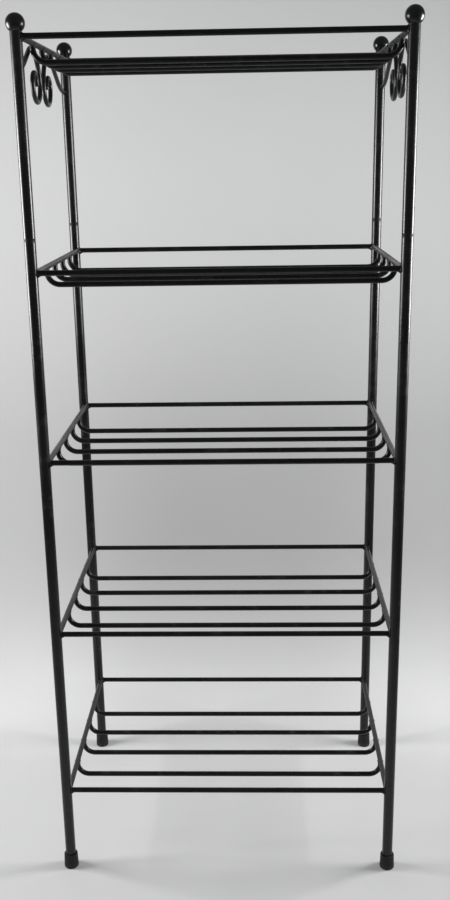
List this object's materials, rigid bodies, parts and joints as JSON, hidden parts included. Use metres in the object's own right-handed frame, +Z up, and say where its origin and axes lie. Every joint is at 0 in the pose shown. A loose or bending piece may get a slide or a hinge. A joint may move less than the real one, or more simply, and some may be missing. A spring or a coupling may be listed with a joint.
{
  "type": "bakers rack",
  "caption": "Open black metal bakers rack with round tube posts, ball finials, dropped rod shelves and ram's-horn scroll rods under the ends of the top shelf.",
  "frame": {"origin": "on the floor, midway between the four posts", "axes": "+Z up, +X to the right as seen from the front, +Y to the back"},
  "size_m": [0.634, 0.45, 1.5209],
  "materials": {
    "black_paint": "semi-gloss black baked paint",
    "bare_steel": "bare drawn steel tube, hidden inside the posts",
    "black_rubber": "matt moulded rubber"
  },
  "bodies": {
    "root": {"front_left_lower_post": "black_paint", "front_left_joint_spigot": "bare_steel", "front_left_upper_post": "black_paint", "front_left_ball_finial": "black_paint", "front_left_scroll": "black_paint", "front_right_lower_post": "black_paint", "front_right_joint_spigot": "bare_steel", "front_right_upper_post": "black_paint", "front_right_ball_finial": "black_paint", "front_right_scroll": "black_paint", "rear_left_lower_post": "black_paint", "rear_left_joint_spigot": "bare_steel", "rear_left_upper_post": "black_paint", "rear_left_ball_finial": "black_paint", "rear_left_scroll": "black_paint", "rear_right_lower_post": "black_paint", "rear_right_joint_spigot": "bare_steel", "rear_right_upper_post": "black_paint", "rear_right_ball_finial": "black_paint", "rear_right_scroll": "black_paint", "bottom_front_rail": "black_paint", "bottom_rear_rail": "black_paint", "bottom_left_end_bar": "black_paint", "bottom_right_end_bar": "black_paint", "bottom_shelf_wires": "black_paint", "second_front_rail": "black_paint", "second_rear_rail": "black_paint", "second_left_end_bar": "black_paint", "second_right_end_bar": "black_paint", "second_shelf_wires": "black_paint", "middle_front_rail": "black_paint", "middle_rear_rail": "black_paint", "middle_left_end_bar": "black_paint", "middle_right_end_bar": "black_paint", "middle_shelf_wires": "black_paint", "fourth_front_rail": "black_paint", "fourth_rear_rail": "black_paint", "fourth_left_end_bar": "black_paint", "fourth_right_end_bar": "black_paint", "fourth_shelf_wires": "black_paint", "top_front_rail": "black_paint", "top_rear_rail": "black_paint", "top_left_end_bar": "black_paint", "top_right_end_bar": "black_paint", "top_shelf_wires": "black_paint", "front_left_foot": "black_rubber", "front_right_foot": "black_rubber", "rear_left_foot": "black_rubber", "rear_right_foot": "black_rubber"}
  },
  "joints": []
}
